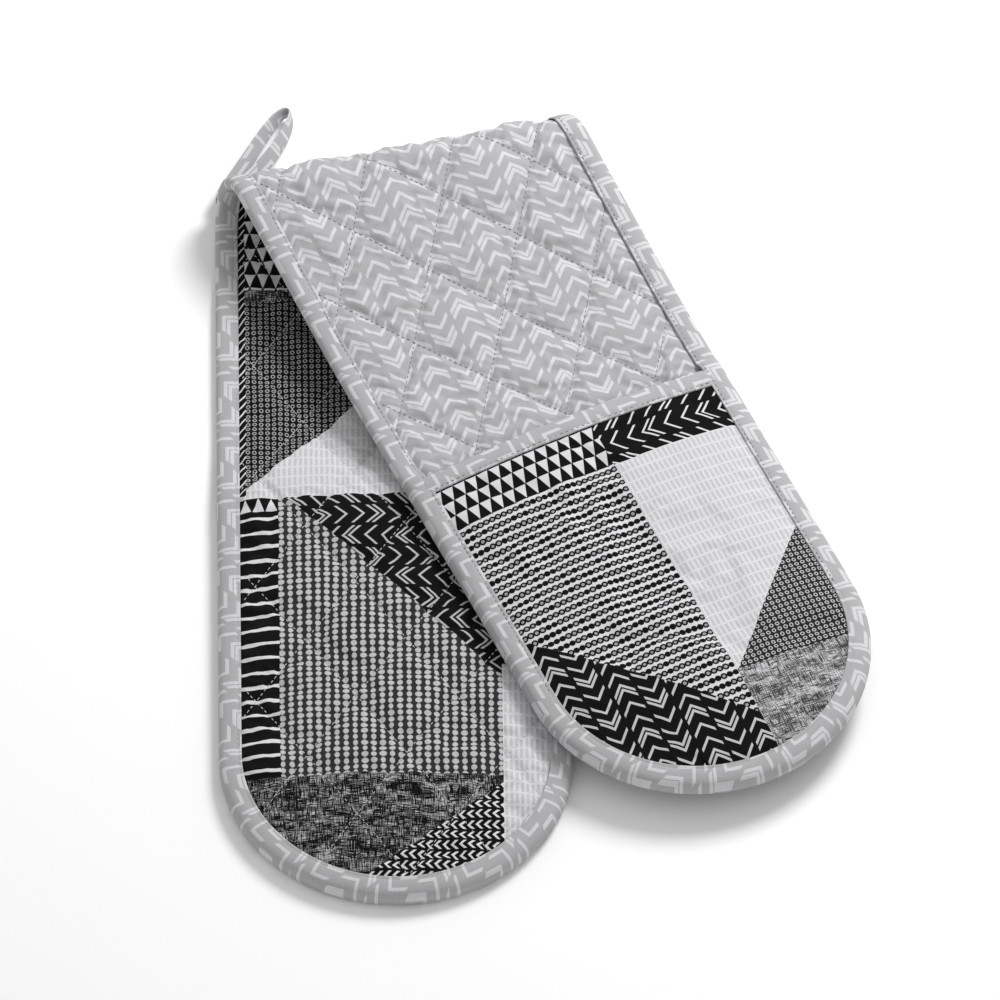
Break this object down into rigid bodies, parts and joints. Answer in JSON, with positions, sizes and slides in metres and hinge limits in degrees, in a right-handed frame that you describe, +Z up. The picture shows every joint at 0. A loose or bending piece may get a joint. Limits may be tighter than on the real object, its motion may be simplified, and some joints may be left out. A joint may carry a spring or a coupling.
{
  "type": "double oven glove",
  "caption": "Double oven glove folded across its middle: long quilted cotton strip with bound edges, a padded hand pocket at each end and a hanging loop at the fold.",
  "frame": {"origin": "middle of the footprint, on the surface that the folded glove lies on", "axes": "+Z up; the lower arm runs along -Y from the fold to its tip; +X is the side to which the upper arm slants"},
  "size_m": [0.3136, 0.4777, 0.04],
  "materials": {
    "grey_print_cotton": "plain-weave cotton, light grey with a printed pale chevron pattern",
    "patchwork_cotton": "plain-weave cotton, printed in black, white and grey with a patchwork of small patterns",
    "heat_wadding": "needled off-white heat wadding",
    "plain_lining": "plain off-white cotton",
    "binding_tape": "bias tape of the light grey printed cotton",
    "sewing_thread": "spun sewing thread"
  },
  "bodies": {
    "lower_arm": {"lower_grey_panel": "grey_print_cotton", "lower_wadding": "heat_wadding", "lower_print_panel": "patchwork_cotton", "lower_pocket_lining": "plain_lining", "lower_pocket_wadding": "heat_wadding", "lower_pocket_face": "patchwork_cotton", "lower_pocket_binding": "binding_tape", "lower_edge_binding": "binding_tape", "lower_quilting_thread": "sewing_thread", "lower_edge_thread": "sewing_thread", "lower_pocket_thread": "sewing_thread", "loop_root": "binding_tape", "loop_bar_tack": "sewing_thread"},
    "upper_arm": {"upper_grey_panel": "grey_print_cotton", "upper_wadding": "heat_wadding", "upper_print_panel": "patchwork_cotton", "upper_pocket_lining": "plain_lining", "upper_pocket_wadding": "heat_wadding", "upper_pocket_face": "patchwork_cotton", "upper_pocket_binding": "binding_tape", "upper_edge_binding": "binding_tape", "upper_quilting_thread": "sewing_thread", "upper_edge_thread": "sewing_thread", "upper_pocket_thread": "sewing_thread"},
    "hanging_loop": {"hanging_loop": "binding_tape"}
  },
  "joints": [
    {"name": "centre_fold", "type": "hinge", "parent": "lower_arm", "child": "upper_arm", "pos_m": [-0.07001, 0.20133, 0.02], "axis": [-0.9763, -0.2164, 0], "range_deg": [0, 180]},
    {"name": "loop_swing", "type": "hinge", "parent": "lower_arm", "child": "hanging_loop", "pos_m": [-0.15443, 0.18262, 0.0065], "axis": [0, 0, 1], "range_deg": [0, 125]}
  ],
  "couplings": [
    {"joint": "loop_swing", "follows": "centre_fold", "ratio": 0.6944}
  ]
}
